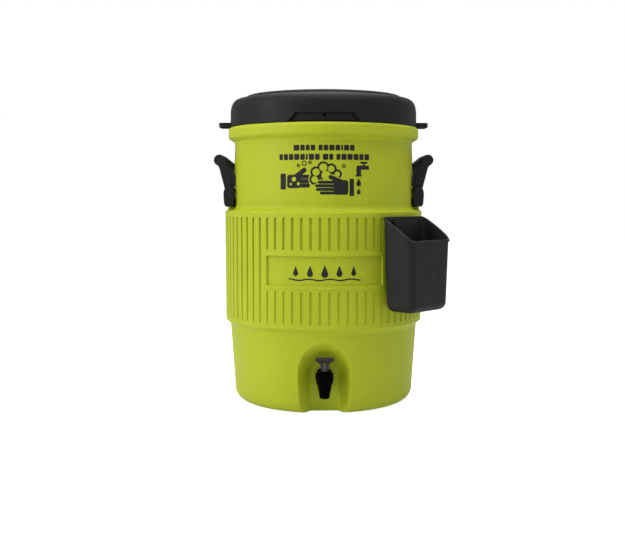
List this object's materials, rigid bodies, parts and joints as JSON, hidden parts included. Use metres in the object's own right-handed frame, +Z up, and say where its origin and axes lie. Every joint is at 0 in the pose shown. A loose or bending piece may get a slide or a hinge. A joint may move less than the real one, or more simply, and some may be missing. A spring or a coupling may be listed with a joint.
{
  "type": "portable hand-wash station",
  "caption": "Insulated upright water jug with a seat-top lid, swing side handles, a lever tap in a front alcove and a lift-off soap and towel bin.",
  "frame": {"origin": "centre of the jug's base, on the floor", "axes": "+Z up along the jug's axis; the tap faces -Y; +X is to the right as seen from the front, and the bin hangs at the right front"},
  "size_m": [0.3697, 0.3454, 0.493],
  "materials": {
    "lime_plastic": "satin",
    "black_plastic": "satin",
    "jet_plastic": "satin",
    "white_plastic": "satin",
    "foam": "matte",
    "black_rubber": "matte",
    "steel": "satin",
    "grey_plastic": "satin"
  },
  "bodies": {
    "jug": {"outer_shell": "lime_plastic", "foam_insulation": "foam", "inner_liner": "white_plastic", "foam_fill_plug": "lime_plastic", "left_handle_bracket": "black_plastic", "left_handle_pin": "steel", "right_handle_bracket": "black_plastic", "right_handle_pin": "steel", "handle_screws": "steel", "bin_bracket": "black_plastic", "bin_bracket_screws": "steel", "spigot_body": "jet_plastic", "spigot_bonnet": "jet_plastic", "spigot_spring": "steel", "spigot_nut": "white_plastic", "spigot_outer_gasket": "black_rubber", "spigot_inner_gasket": "black_rubber"},
    "lid": {"lid_cap": "black_plastic", "lid_foam": "foam", "lid_liner": "white_plastic", "lid_gasket": "black_rubber"},
    "left_handle": {"left_handle": "black_plastic"},
    "right_handle": {"right_handle": "black_plastic"},
    "bin": {"bin": "black_plastic"},
    "stem": {"spigot_stem": "grey_plastic", "spigot_seat_cup": "black_rubber"},
    "lever": {"spigot_lever": "black_plastic", "spigot_lever_pin": "steel"}
  },
  "joints": [
    {"name": "lid_lift", "type": "slide", "parent": "jug", "child": "lid", "axis": [0, 0, 1], "range_m": [0, 0.12]},
    {"name": "left_handle_swing", "type": "hinge", "parent": "jug", "child": "left_handle", "pos_m": [-0.1518, 0, 0.3373], "axis": [0, -1, 0], "range_deg": [0, 134]},
    {"name": "right_handle_swing", "type": "hinge", "parent": "jug", "child": "right_handle", "pos_m": [0.1518, 0, 0.3373], "axis": [0, 1, 0], "range_deg": [0, 134]},
    {"name": "bin_lift", "type": "slide", "parent": "jug", "child": "bin", "axis": [0, 0, 1], "range_m": [0, 0.04]},
    {"name": "stem_lift", "type": "slide", "parent": "jug", "child": "stem", "axis": [0, 0, 1], "range_m": [0, 0.004], "stiffness_N_per_m": 300, "springref_m": -0.01, "deforming": ["spigot_spring"]},
    {"name": "lever_tilt", "type": "hinge", "parent": "stem", "child": "lever", "pos_m": [0, -0.14, 0.072], "axis": [1, 0, 0], "range_deg": [0, 35]}
  ],
  "couplings": [
    {"joint": "stem_lift", "follows": "lever_tilt", "m_per_rad": 0.006548}
  ]
}
